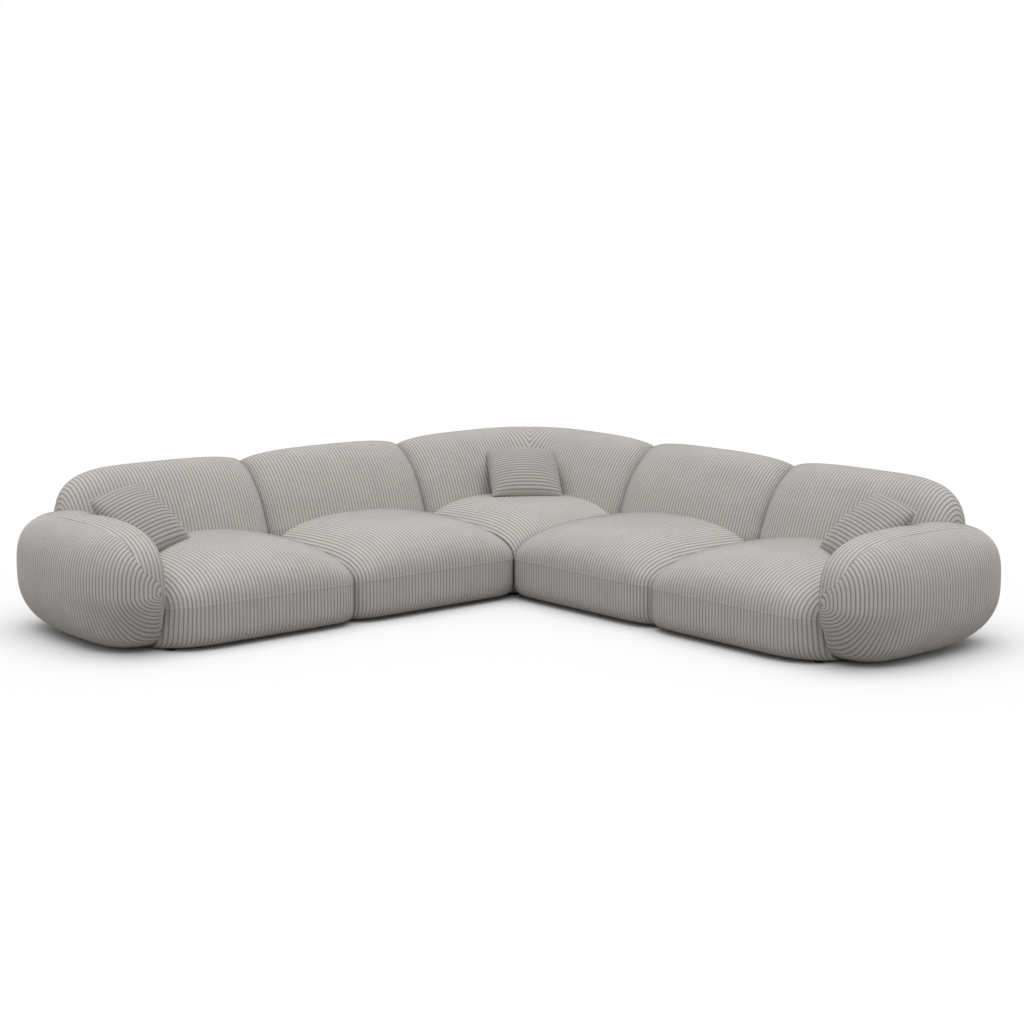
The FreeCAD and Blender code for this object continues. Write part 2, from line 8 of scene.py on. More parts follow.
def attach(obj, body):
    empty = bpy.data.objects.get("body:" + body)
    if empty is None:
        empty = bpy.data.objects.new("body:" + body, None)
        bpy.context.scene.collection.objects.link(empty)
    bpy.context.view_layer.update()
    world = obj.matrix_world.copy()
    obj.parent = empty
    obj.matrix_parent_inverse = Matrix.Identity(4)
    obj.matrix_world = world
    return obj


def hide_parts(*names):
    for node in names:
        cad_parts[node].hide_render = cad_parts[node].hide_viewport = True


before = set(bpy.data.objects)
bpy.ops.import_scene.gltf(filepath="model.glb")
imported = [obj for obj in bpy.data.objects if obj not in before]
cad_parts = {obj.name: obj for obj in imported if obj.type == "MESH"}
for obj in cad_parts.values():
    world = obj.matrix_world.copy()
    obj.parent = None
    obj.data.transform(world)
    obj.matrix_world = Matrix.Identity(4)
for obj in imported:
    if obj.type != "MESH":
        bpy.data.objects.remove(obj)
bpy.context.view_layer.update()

# Camera: a long lens a little above the sofa, looking down into the open corner from the front, at the
# photograph's viewing angle.
camera_data = bpy.data.cameras.new("studio_camera")
camera_data.sensor_width = 36.0
camera_data.lens = 70.0
camera_data.clip_end = 100.0
camera = bpy.data.objects.new("studio_camera", camera_data)
camera.location = (7.035, -5.886, 2.06)
look_turn = math.radians(40.28)
look_down = math.radians(9.17)
look = Vector((-math.cos(look_turn) * math.cos(look_down), math.sin(look_turn) * math.cos(look_down),
               -math.sin(look_down)))
camera.rotation_euler = look.to_track_quat("-Z", "Y").to_euler()
bpy.context.scene.collection.objects.link(camera)
bpy.context.scene.camera = camera
bpy.context.scene.view_settings.view_transform = "Standard"


def linear(hex_colour):
    """Linear RGBA of an sRGB hex colour."""
    parts = [int(hex_colour[i:i + 2], 16) / 255 for i in (0, 2, 4)]
    return tuple(p / 12.92 if p <= 0.04045 else ((p + 0.055) / 1.055) ** 2.4 for p in parts) + (1.0,)


def add_node(tree, kind, inputs=None, **settings):
    """Adds a shader node with its settings, values and links."""
    made = tree.nodes.new(kind)
    for name, value in settings.items():
        setattr(made, name, value)
    for key, value in (inputs or {}).items():
        if isinstance(value, bpy.types.NodeSocket):
            tree.links.new(value, made.inputs[key])
        else:
            made.inputs[key].default_value = value
    return made


def new_material(name):
    """Empty node material and its output node."""
    material = bpy.data.materials.new(name)
    material.use_nodes = True
    tree = material.node_tree
    tree.nodes.clear()
    return material, tree, tree.nodes.new("ShaderNodeOutputMaterial")


# Studio: a white sweep under even light from the sky and a wide soft lamp overhead, so that the sofa's
# tops are lighter than its sides. The sweep shows white to the camera and keeps the soft shadow.
sweep_side = 120.0
sweep_mesh = bpy.data.meshes.new("studio_floor")
half = sweep_side / 2
sweep_corners = [(-half, -half, 0), (half, -half, 0), (half, half, 0), (-half, half, 0)]
sweep_mesh.from_pydata(sweep_corners, [], [(0, 1, 2, 3)])
sweep = bpy.data.objects.new("studio_floor", sweep_mesh)
bpy.context.scene.collection.objects.link(sweep)
sweep_material, tree, output = new_material("painted_studio_floor")
floor_white = 0.957
floor_seen = add_node(tree, "ShaderNodeBsdfDiffuse", {"Color": (floor_white,) * 3 + (1.0,)})
floor_bounce = add_node(tree, "ShaderNodeBsdfDiffuse", {"Color": linear("a6a5a3")})
floor_rays = add_node(tree, "ShaderNodeLightPath")
floor_mix = add_node(tree, "ShaderNodeMixShader", {0: floor_rays.outputs["Is Camera Ray"],
                                                   1: floor_bounce.outputs[0], 2: floor_seen.outputs[0]})
tree.links.new(floor_mix.outputs[0], output.inputs["Surface"])
sweep_mesh.materials.append(sweep_material)

world = bpy.data.worlds.new("studio_air")
bpy.context.scene.world = world
world.use_nodes = True
tree = world.node_tree
tree.nodes.clear()
air_output = tree.nodes.new("ShaderNodeOutputWorld")
air_light = add_node(tree, "ShaderNodeBackground", {"Color": (1.0, 1.0, 1.0, 1.0), "Strength": 0.50})
air_white = add_node(tree, "ShaderNodeBackground", {"Color": (1.0, 1.0, 1.0, 1.0), "Strength": 1.0})
air_rays = add_node(tree, "ShaderNodeLightPath")
air_seen = add_node(tree, "ShaderNodeMath", {0: air_rays.outputs["Is Camera Ray"],
                                             1: air_rays.outputs["Is Glossy Ray"]}, operation="MAXIMUM")
air_seen = add_node(tree, "ShaderNodeMath", {0: air_seen.outputs[0],
                                             1: air_rays.outputs["Is Transmission Ray"]}, operation="MAXIMUM")
air_mix = add_node(tree, "ShaderNodeMixShader", {0: air_seen.outputs[0], 1: air_light.outputs[0],
                                                 2: air_white.outputs[0]})
tree.links.new(air_mix.outputs[0], air_output.inputs["Surface"])

lamp_data = bpy.data.lights.new("overhead_lamp", "SUN")
lamp_data.energy = 1.75
lamp_data.angle = math.radians(75)
lamp = bpy.data.objects.new("overhead_lamp", lamp_data)
lamp_lean = 0.14
lamp_down = Vector((-0.753 * lamp_lean, 0.638 * lamp_lean, -1.0))
lamp.rotation_euler = lamp_down.to_track_quat("-Z", "Y").to_euler()
bpy.context.scene.collection.objects.link(lamp)

# Corduroy cover: light warm grey polyester chenille, woven with wide cut wales about 20 mm apart.
# The wales stand up as round ridges; the grooves between them are painted darker, partly for the ground weave
# and partly as painted shade of the grooves. The cut pile scatters light softly, so the cloth has no gloss,
# only a faint bloom at grazing angles.
wale_pitch = 0.0195
wale_height = 0.0030
samples_per_wale = 8
run_length = 3.330


def wale_crown(phase):
    """Height of the pile from 0 in a groove to 1 on a wale; a wale is one unit of phase wide."""
    return np.abs(np.sin(np.pi * phase)) ** 0.75


def corduroy(name, crown_colour, groove_weave_and_shade_colour):
    """Wide-wale corduroy: reads the wale number from UV x and the length along it, in metres, from UV y."""
    material, tree, output = new_material(name)
    cloth_uv = add_node(tree, "ShaderNodeUVMap", uv_map="cloth")
    split = add_node(tree, "ShaderNodeSeparateXYZ", {0: cloth_uv.outputs[0]})
    turn = add_node(tree, "ShaderNodeMath", {0: split.outputs[0], 1: math.pi}, operation="MULTIPLY")
    wave = add_node(tree, "ShaderNodeMath", {0: turn.outputs[0]}, operation="SINE")
    ridge = add_node(tree, "ShaderNodeMath", {0: wave.outputs[0]}, operation="ABSOLUTE")
    crown = add_node(tree, "ShaderNodeMapRange", {0: ridge.outputs[0], 1: -0.1, 2: 0.85, 3: 0.0, 4: 1.0},
                     interpolation_type="SMOOTHSTEP")
    place = add_node(tree, "ShaderNodeTexCoord")
    tuft = add_node(tree, "ShaderNodeTexNoise", {"Vector": place.outputs["Object"], "Scale": 520.0,
                                                 "Detail": 2.0, "Roughness": 0.6})
    cloud = add_node(tree, "ShaderNodeTexNoise", {"Vector": place.outputs["Object"], "Scale": 9.0,
                                                  "Detail": 3.0, "Roughness": 0.55})
    # Grooves take the darker colour: partly the ground weave, partly painted shade of the grooves.
    shade = add_node(tree, "ShaderNodeMix", {0: crown.outputs[0], 6: linear(groove_weave_and_shade_colour),
                                             7: linear(crown_colour)}, data_type="RGBA")
    tuft_level = add_node(tree, "ShaderNodeMapRange", {0: tuft.outputs[0], 1: 0.3, 2: 0.7, 3: 0.90, 4: 1.08})
    cloud_level = add_node(tree, "ShaderNodeMapRange", {0: cloud.outputs[0], 1: 0.3, 2: 0.7, 3: 0.965,
                                                        4: 1.03})
    level = add_node(tree, "ShaderNodeMath", {0: tuft_level.outputs[0], 1: cloud_level.outputs[0]},
                     operation="MULTIPLY")
    colour = add_node(tree, "ShaderNodeVectorMath", {0: shade.outputs[2], "Scale": level.outputs[0]},
                      operation="SCALE")
    bump = add_node(tree, "ShaderNodeBump", {"Height": tuft.outputs[0], "Strength": 0.55, "Distance": 0.0012})
    cloth = add_node(tree, "ShaderNodeBsdfPrincipled", {
        "Base Color": colour.outputs[0], "Roughness": 0.95, "Specular IOR Level": 0.15,
        "Sheen Weight": 0.25, "Sheen Roughness": 0.5, "Normal": bump.outputs[0]})
    tree.links.new(cloth.outputs[0], output.inputs["Surface"])
    return material


# The second colour is the grooves' ground weave, darkened further as painted shade.
cover_cloth = corduroy("wide_wale_corduroy", "c9c5c1", "8b8682")


def to_world(side, points):
    """From a module's own frame (along the run, depth, height) to the sofa's, on the left or right run."""
    along, depth, height = points[..., 0], points[..., 1], points[..., 2]
    if side == "left":
        return np.stack([depth - run_length / 2, run_length / 2 - along, height], axis=-1)
    return np.stack([along - run_length / 2, run_length / 2 - depth, height], axis=-1)


def grid_normals(points, ring):
    """Unit normals of a grid of points; ring says that the last row joins the first."""
    if ring:
        down = np.roll(points, -1, 0) - np.roll(points, 1, 0)
    else:
        down = np.gradient(points, axis=0)
    across = np.gradient(points, axis=1)
    normal = np.cross(down, across)
    size = np.linalg.norm(normal, axis=-1, keepdims=True)
    return normal / np.maximum(size, 1e-12)


class Cover:
    """Collects sewn panels and closing faces, then makes one piece of them."""

    def __init__(self):
        self.points = []
        self.uvs = []
        self.faces = []
        self.count = 0

    def panel(self, points, phase, along, ring=False, flip=False):
        """A grid of points; returns their numbers."""
        rows, columns = points.shape[:2]
        first = self.count
        index = first + np.arange(rows * columns).reshape(rows, columns)
        self.count += rows * columns
        self.points.append(points.reshape(-1, 3))
        self.uvs.append(np.stack([np.broadcast_to(phase, (rows, columns)),
                                  np.broadcast_to(along, (rows, columns))], axis=-1).reshape(-1, 2))
        below = np.roll(index, -1, 0) if ring else index[1:]
        here = index if ring else index[:-1]
        quads = np.stack([here[:, :-1], here[:, 1:], below[:, 1:], below[:, :-1]], axis=-1).reshape(-1, 4)
        if flip:
            quads = quads[:, ::-1]
        self.faces += quads.tolist()
        return index

    def face(self, numbers):
        """One closing face through points that are already there."""
        self.faces.append([int(n) for n in numbers])

    def finish(self, name, side, body, nodes, material, fill, slot="corduroy", weld=None):
        """Makes the mesh, gives it its cloth, hangs it on its body and hides the solids that it covers."""
        points = to_world(side, np.concatenate(self.points))
        uvs = np.concatenate(self.uvs)
        mesh = bpy.data.meshes.new(name)
        mesh.from_pydata(points.tolist(), [], self.faces)
        layer = mesh.uv_layers.new(name="cloth")
        corners = np.empty(len(mesh.loops), dtype=np.int32)
        mesh.loops.foreach_get("vertex_index", corners)
        layer.data.foreach_set("uv", uvs[corners].reshape(-1).astype(np.float32))
        sewn = bmesh.new()
        sewn.from_mesh(mesh)
        if weld:
            bmesh.ops.remove_doubles(sewn, verts=sewn.verts, dist=weld)
        bmesh.ops.dissolve_degenerate(sewn, dist=0.000001, edges=sewn.edges)
        bmesh.ops.recalc_face_normals(sewn, faces=sewn.faces)
        sewn.to_mesh(mesh)
        sewn.free()
        mesh.shade_smooth()
        mesh.set_sharp_from_angle(angle=math.radians(70))
        mesh.materials.append(material)
        piece = bpy.data.objects.new(name, mesh)
        bpy.context.scene.collection.objects.link(piece)
        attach(piece, body)
        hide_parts(*nodes)
        return piece


def shrink(offset, power):
    """How far a section has shrunk at an offset of 0 to 1 from a cushion's middle."""
    return (1 - np.minimum(np.abs(offset), 1) ** power) ** (1 / power)


def signed_power(value, power):
    """Power that keeps the sign of its base."""
    return np.sign(value) * np.abs(value) ** power


def raise_wales(points, phase, share, ring=False):
    """Lifts the pile off the cloth's ground, by share of its full height."""
    lift = (wale_crown(phase) - 0.5) * wale_height * share
    return points + grid_normals(points, ring) * lift[..., None]


# Seat pads of the four straight modules: a crowned foam block on webbing, in a corduroy top panel that
# runs front to back and over the front edge, sewn there to a band that goes down to the floor. Its ends
# are pressed flat by the next module; below, it is open for the timber frame.
corner_side = 1.070
middle_width = 1.000
end_seat_width = 1.030
seat_depth = 1.120
seat_crest_depth = 0.670
widest_height = 0.200
seat_height = 0.430
fabric_above_floor = 0.005
rear_inset = 0.010
half_module_gap = 0.0005
arm_foam = 0.0143
seam_height_share = 0.065
seam_depth = 0.0014
seam_half_width = 0.0035
lip_thickness = 0.045
cavity_height = 0.149
foot_turn_share = 0.4096
crown_power = 2.6
band_power = 7.5
seat_rear_power = 9.0
arm_side_rear_power = 14.0
seat_front_power = 7.5
arm_side_front_power = 5.2
seat_end_overrun = 1.03
tuck_begins = 0.50
corner_tuck = 0.10
row_spacing = 0.024
edge_fade = 0.03
seam_spread = np.array([-0.014, -0.009, -0.0055, -0.003, 0.0, 0.003, 0.0055, 0.009, 0.014])
seam_clear = 0.020
lining_rows = np.array([0.05, 0.18, 0.95, 1.1])


def seat_surface(angles, along, centre, reach_before, reach_after, depth, tuck=0.0):
    """Outer surface of a seat pad: rows of angles round its section, columns along the run.

    With a tuck, the front corner after the centre is drawn in, and more so towards the floor."""
    reach = np.where(along < centre, reach_before, reach_after)
    offset = (along - centre) / reach
    tucked = (offset > 0) & (tuck > 0)
    rear_plan = shrink(offset, np.where(tucked, arm_side_rear_power, seat_rear_power))
    plain_front_power = np.where(along < centre, seat_rear_power, seat_front_power)
    front_plan = shrink(offset, np.where(tucked, arm_side_front_power, plain_front_power))
    crown = shrink(offset, crown_power)
    cosine = np.cos(angles)[:, None]
    sine = np.sin(angles)[:, None]
    power = np.where(sine > 0, 2 / crown_power, 2 / band_power)
    height_reach = np.where(sine > 0, (seat_height - widest_height) * crown,
                            widest_height - fabric_above_floor)
    z = widest_height + height_reach * signed_power(sine, power)
    below = np.clip(widest_height - z, 0, 1) / widest_height
    drawn_in = tuck * np.clip((offset - tuck_begins) / 0.47, 0, 1) ** 2 * below
    depth_reach = np.where(cosine > 0, (depth - seat_crest_depth) * front_plan * (1 - drawn_in),
                           (seat_crest_depth - rear_inset) * rear_plan)
    y = seat_crest_depth + depth_reach * signed_power(cosine, power)
    x = np.broadcast_to(along, y.shape)
    return np.stack([x, y, z], axis=-1)


def wale_columns(profile_length, positions):
    """Places along a curve for whole wales, and the wale number of each column."""
    wales = max(2, int(round(profile_length[-1] / wale_pitch)))
    columns = wales * samples_per_wale + 1
    places = np.linspace(0, profile_length[-1], columns)
    return np.interp(places, profile_length, positions), np.linspace(0, wales, columns)


def lining(cover):
    """Rows inside a seat's cover, from its front foot up and back to its rear foot."""
    front_low = cover[-1] - (0, lip_thickness, 0)
    front_high = front_low.copy()
    front_high[:, 2] = cavity_height
    rear_low = cover[0] + (0, lip_thickness, 0)
    rear_high = rear_low.copy()
    rear_high[:, 2] = np.maximum(cavity_height, rear_low[:, 2] - 0.001)
    return np.stack([front_low, front_high, rear_high, rear_low])


def straight_seat(side, kind, start, end, arm_end):
    """Cover of one straight module's seat pad."""
    first = start + half_module_gap
    last = end - (arm_foam if arm_end else half_module_gap)
    centre = (first + last) / 2
    reach = (last - first) / 2 * seat_end_overrun
    fine = np.linspace(first, last, 3001)
    crest = widest_height + (seat_height - widest_height) * shrink((fine - centre) / reach, crown_power)
    length = np.concatenate([[0], np.cumsum(np.hypot(np.diff(fine), np.diff(crest)))])
    along, phase = wale_columns(length, fine)
    turn = math.acos(foot_turn_share)
    dense = np.linspace(math.pi + turn, -turn, 9001)
    middle = seat_surface(dense, np.array([centre]), centre, reach, reach, seat_depth)[:, 0]
    steps = np.linalg.norm(np.diff(middle, axis=0), axis=1)
    path = np.concatenate([[0], np.cumsum(steps)])
    seam_angle = math.asin(seam_height_share ** 1.3)
    seam_at = np.interp(-seam_angle, -dense, path)
    even = np.linspace(0, path[-1], int(path[-1] / row_spacing) + 1)
    even = even[np.abs(even - seam_at) > seam_clear]
    wanted = np.union1d(even, seam_at + seam_spread)
    angles = np.interp(wanted, path, dense)
    base = seat_surface(angles, along, centre, reach, reach, seat_depth, corner_tuck if arm_end else 0.0)
    phases = np.broadcast_to(phase, base.shape[:2])
    fade = np.clip(np.minimum(wanted, path[-1] - wanted) / edge_fade, 0, 1)[:, None]
    cover = raise_wales(base, phases, fade)
    groove = np.exp(-((wanted - seam_at) / seam_half_width) ** 2)[:, None, None]
    cover = cover - grid_normals(base, False) * groove * seam_depth
    cover[..., 0] = np.clip(cover[..., 0], first, last)
    cover[:, 0, 0] = first
    cover[:, -1, 0] = last
    grid = np.concatenate([cover, lining(cover)])
    rows = np.concatenate([wanted, path[-1] + lining_rows])[:, None]
    piece = Cover()
    index = piece.panel(grid, phase, rows, ring=True)
    piece.face(index[:, 0])
    piece.face(index[::-1, -1])
    return piece.finish(f"{side}_{kind}_seat_cover", side, f"{side}_{kind}", [f"{side}_{kind}_seat_pad"],
                        cover_cloth, 0.9)


end_start = corner_side + middle_width
arm_start = end_start + end_seat_width
for side in ("left", "right"):
    straight_seat(side, "middle", corner_side, end_start, False)
    straight_seat(side, "end", end_start, arm_start, True)

# Back pads of the four straight modules: a foam block with a full round top, wrapped in one panel whose
# wales go up the front, over the top and down the rear. It stands on the seat's rear edge.
back_outline = np.array([
    (0.024, 0.262), (0.002, 0.400), (0.003, 0.560), (0.030, 0.672), (0.112, 0.740), (0.205, 0.712),
    (0.282, 0.625), (0.340, 0.520), (0.384, 0.400), (0.392, 0.300), (0.340, 0.255), (0.180, 0.248)])
back_end_outline = np.array([
    (0.024, 0.265), (0.003, 0.400), (0.004, 0.545), (0.014, 0.645), (0.060, 0.676), (0.128, 0.648),
    (0.200, 0.588), (0.258, 0.508), (0.300, 0.415), (0.322, 0.330), (0.292, 0.268), (0.170, 0.252)])
back_core = np.array([0.190, 0.400])
curve_points = 4000
ring_rows = 72


def smooth_ring(corners):
    """Closed smooth curve through corners, starting at the first corner, and its length."""
    steps = np.linalg.norm(np.roll(corners, -1, 0) - corners, axis=1)
    total = len(corners)
    behind = np.roll(steps, 1)
    matrix = np.zeros((total, total))
    right = np.zeros((total, 2))
    for i in range(total):
        matrix[i, i - 1] += behind[i]
        matrix[i, i] += 2 * (behind[i] + steps[i])
        matrix[i, (i + 1) % total] += steps[i]
        right[i] = 6 * ((corners[(i + 1) % total] - corners[i]) / steps[i]
                        - (corners[i] - corners[i - 1]) / behind[i])
    bend = np.linalg.solve(matrix, right)
    share = np.arange(curve_points) / curve_points * total
    cell = np.floor(share).astype(int)
    step = steps[cell][:, None]
    b = (share - cell)[:, None] * step
    a = step - b
    here, after = cell, (cell + 1) % total
    curve = ((bend[here] * a ** 3 + bend[after] * b ** 3) / (6 * step)
             + (corners[here] / step - bend[here] * step / 6) * a
             + (corners[after] / step - bend[after] * step / 6) * b)
    return curve, np.linalg.norm(np.roll(curve, -1, 0) - curve, axis=1).sum()


full_curve, back_ring_length = smooth_ring(back_outline)
end_curve, _ = smooth_ring(back_end_outline)
curve_steps = np.concatenate([[0], np.cumsum(np.linalg.norm(np.diff(full_curve, axis=0), axis=1))])
ring_places = np.interp(np.linspace(0, back_ring_length, ring_rows, endpoint=False), curve_steps,
                        np.arange(curve_points))
ring_places = ring_places.round().astype(int)
back_press = 1.004
back_end_power = 3.0
arm_end_power = 4.0
corner_end_power = 3.6
end_bulge = 0.2
arm_end_overlap = 0.046


def pressed_share(offset, power):
    """Fullness of a back at an offset from its middle: 1 there and 0 where the next back presses on it."""
    last = shrink(1 / back_press, power)
    return np.clip((shrink(offset / back_press, power) - last) / (1 - last), 0, 1)


def back_section(full, ending, fullness, scale):
    """Outline of a back between its full form and its pressed end, scaled about its core."""
    shape = ending + (full - ending) * fullness
    return back_core + (shape - back_core) * scale


def straight_back(side, kind, start, end, arm_end):
    """Cover of one straight module's back pad; at an arm its end is full round and leans over the arm."""
    first = start + half_module_gap
    last = end + (arm_end_overlap if arm_end else -half_module_gap)
    centre = (first + last) / 2
    half_width = (last - first) / 2
    fine = centre + np.sin(np.linspace(-math.pi / 2, math.pi / 2, 6001)) * half_width
    offset = (fine - centre) / half_width
    closing = arm_end & (offset > 0)
    round_end = 1.3 * shrink(offset / 1.0003, arm_end_power)
    bulge = end_bulge * np.where(closing, round_end, pressed_share(offset, back_end_power) + 0.3)
    length = np.concatenate([[0], np.cumsum(np.hypot(np.diff(fine), np.diff(bulge)))])
    along, phase = wale_columns(length, fine)
    offset = (along - centre) / half_width
    closing = arm_end & (offset > 0)
    fullness = np.where(closing, 1, pressed_share(offset, back_end_power))[None, :, None]
    scale = np.where(closing, shrink(offset / 1.0003, arm_end_power), 1)[None, :, None]
    section = back_section(full_curve[ring_places][:, None, :], end_curve[ring_places][:, None, :],
                           fullness, scale)
    base = np.stack([np.broadcast_to(along, section.shape[:2]), section[..., 0], section[..., 1]], axis=-1)
    phases = np.broadcast_to(phase, base.shape[:2])
    cover = raise_wales(base, phases, 1.0, ring=True)
    cover[..., 0] = np.clip(cover[..., 0], first, last)
    cover[:, 0, 0] = first
    cover[:, -1, 0] = last
    rows = np.linspace(0, back_ring_length, len(ring_places), endpoint=False)[:, None]
    piece = Cover()
    index = piece.panel(cover, phase, rows, ring=True)
    piece.face(index[:, 0])
    piece.face(index[::-1, -1])
    return piece.finish(f"{side}_{kind}_back_cover", side, f"{side}_{kind}", [f"{side}_{kind}_back_pad"],
                        cover_cloth, 0.9)


for side in ("left", "right"):
    straight_back(side, "middle", corner_side, end_start, False)
    straight_back(side, "end", end_start, arm_start, True)

# Corner seat: the same crowned cushion, wales running out from the left run's back, cut straight where
# the next modules press on it. Its band below goes round the module's rounded outer corner as a strip.
corner_centre = seat_crest_depth
corner_last = corner_side - half_module_gap
corner_half_width = corner_last - corner_centre
corner_along_overrun = 1.10
corner_depth_overrun = 1.0816
corner_reach_before = (corner_centre - rear_inset) * seat_end_overrun
corner_reach_after = corner_half_width * corner_along_overrun
corner_front_reach = corner_half_width * corner_depth_overrun
corner_row_spacing = 0.020
corner_lining_rows = np.array([0.05, 0.18, 0.75, 0.9])
cushion_rear = 0.300
corner_bend = 0.500
band_rows = 18
band_top_turn = 1.02


def corner_seat_top():
    """The corner seat's cushion, from under the back pads to its two pressed faces."""
    first = cushion_rear
    fine = np.linspace(first, corner_last, 3001)
    reach = np.where(fine < corner_centre, corner_reach_before, corner_reach_after)
    crown = shrink((fine - corner_centre) / reach, crown_power)
    crest = widest_height + (seat_height - widest_height) * crown
    length = np.concatenate([[0], np.cumsum(np.hypot(np.diff(fine), np.diff(crest)))])
    along, phase = wale_columns(length, fine)
    rear_cosine = ((corner_centre - cushion_rear) / (corner_centre - rear_inset)) ** 1.3
    dense = np.linspace(math.pi - math.acos(rear_cosine), -math.acos(foot_turn_share), 6001)
    depth = corner_centre + corner_front_reach
    middle = seat_surface(dense, np.array([corner_centre]), corner_centre, corner_reach_before,
                          corner_reach_after, depth)[:, 0]
    middle[:, 1] = np.minimum(middle[:, 1], corner_last)
    path = np.concatenate([[0], np.cumsum(np.linalg.norm(np.diff(middle, axis=0), axis=1))])
    wanted = np.linspace(0, path[-1], int(path[-1] / corner_row_spacing) + 1)
    angles = np.interp(wanted, path, dense)
    base = seat_surface(angles, along, corner_centre, corner_reach_before, corner_reach_after, depth)
    base[..., 1] = np.minimum(base[..., 1], corner_last)
    phases = np.broadcast_to(phase, base.shape[:2])
    fade = np.clip(np.minimum(wanted, path[-1] - wanted) / edge_fade, 0, 1)[:, None]
    cover = raise_wales(base, phases, fade)
    cover[..., 0] = np.clip(cover[..., 0], first, corner_last)
    cover[..., 1] = np.minimum(cover[..., 1], corner_last)
    cover[:, 0, 0] = first
    cover[:, -1, 0] = corner_last
    grid = np.concatenate([cover, lining(cover)])
    rows = np.concatenate([wanted, path[-1] + corner_lining_rows])[:, None]
    piece = Cover()
    index = piece.panel(grid, phase, rows, ring=True)
    piece.face(index[:, 0])
    piece.face(index[::-1, -1])
    return piece


def corner_band(piece):
    """The strip below the corner's back pads: two legs and the bend between them, with upright wales."""
    radius = corner_bend - rear_inset
    leg = corner_last - corner_bend
    total = 2 * leg + radius * math.pi / 2
    wales = int(round(total / wale_pitch))
    travel = np.linspace(0, total, wales * samples_per_wale + 1)
    phase = np.linspace(0, wales, len(travel))
    turn = np.clip((travel - leg) / radius, 0, math.pi / 2)
    start_leg = np.maximum(leg - travel, 0)
    end_leg = np.maximum(travel - leg - radius * math.pi / 2, 0)
    low = math.pi + math.acos(foot_turn_share)
    high = math.pi - band_top_turn
    angles = np.linspace(low, high, band_rows)
    section = seat_surface(angles, np.array([corner_centre]), corner_centre, corner_reach_before,
                           corner_reach_after, seat_depth)[:, 0, 1:]
    inside = section[::-1].copy()
    inside[:, 0] += lip_thickness
    inside = inside[[0, 6, 12, band_rows - 1]]
    section = np.concatenate([section, inside])
    lift_share = np.concatenate([np.ones(band_rows), np.zeros(len(inside))])
    lift_share[0] = 0.0
    away = (wale_crown(phase) - 0.5)[None, :] * wale_height * lift_share[:, None]
    r = corner_bend - section[:, 0][:, None] + away
    x = corner_bend - r * np.sin(turn) + start_leg
    y = corner_bend - r * np.cos(turn) + end_leg
    z = np.broadcast_to(section[:, 1][:, None], x.shape)
    grid = np.stack([x, y, z], axis=-1)
    grid[..., :2] = np.minimum(grid[..., :2], corner_last)
    rows = np.linspace(0, 0.8, len(section))[:, None]
    index = piece.panel(grid, phase, rows, ring=True, flip=True)
    piece.face(index[::-1, 0])
    piece.face(index[:, -1])


corner_cushion = corner_seat_top()
corner_band(corner_cushion)
corner_cushion.finish("corner_seat_cover", "left", "corner", ["corner_seat_pad"], cover_cloth, 0.9)

# Corner back: one pad bent round the outer corner, covered in two panels that mirror each other. Their
# wales lean over the top, meet in chevrons at the mitre seam, and stand upright again on the legs.
front_most = int(np.argmax(full_curve[:, 0]))
mitre_rows = 72


def corner_back_half():
    """Left half of the corner's back: rows round the section, columns from the mitre to the leg's end."""
    ring = np.roll(full_curve, -front_most, axis=0)
    ring = np.concatenate([ring, ring[:1]])
    ending = np.roll(end_curve, -front_most, axis=0)
    ending = np.concatenate([ending, ending[:1]])
    rear = int(np.argmin(ring[:, 0]))
    going = np.minimum.accumulate(ring[:rear + 1, 0])
    coming = np.maximum.accumulate(ring[rear:, 0])
    steps = np.concatenate([[0], np.cumsum(np.linalg.norm(np.diff(ring, axis=0), axis=1))])
    leg_reach = corner_last - corner_bend
    mitre_first = corner_bend - (corner_bend - ring[rear, 0] - 0.0004) * math.sqrt(0.5)
    fine = corner_last - (corner_last - mitre_first) * np.linspace(1, 0, 6001) ** 2
    bulge = end_bulge * pressed_share(np.maximum(fine - corner_bend, 0) / leg_reach, corner_end_power)
    length = np.concatenate([[0], np.cumsum(np.hypot(np.diff(fine), np.diff(bulge)))])
    along, phase = wale_columns(length, fine)
    grid = np.empty((mitre_rows + 1, len(along), 3))
    for column, place in enumerate(along):
        limit = corner_bend - math.sqrt(2) * max(corner_bend - place, 0)
        if limit < ring[0, 0]:
            begin = np.interp(-limit, -going, steps[:rear + 1])
            stop = np.interp(limit, coming, steps[rear:])
        else:
            begin, stop = 0.0, steps[-1]
        wanted = np.linspace(begin, stop, mitre_rows + 1)
        section = np.stack([np.interp(wanted, steps, ring[:, k]) for k in (0, 1)], axis=-1)
        if place < corner_bend:
            radius = corner_bend - section[:, 0]
            depth = corner_bend - np.sqrt(np.maximum(radius ** 2 - (corner_bend - place) ** 2, 0))
            height = section[:, 1]
        else:
            pressed = np.stack([np.interp(wanted, steps, ending[:, k]) for k in (0, 1)], axis=-1)
            fullness = pressed_share((place - corner_bend) / leg_reach, corner_end_power)
            section = back_section(section, pressed, fullness, 1)
            depth, height = section[:, 0], section[:, 1]
        grid[:, column] = np.stack([np.full(len(depth), place), depth, height], axis=-1)
    return grid, phase, along


def join_at_mitre(points):
    """Moves points onto the mitre's upright plane."""
    middle = (points[..., 0] + points[..., 1]) / 2
    return np.stack([middle, middle, points[..., 2]], axis=-1)


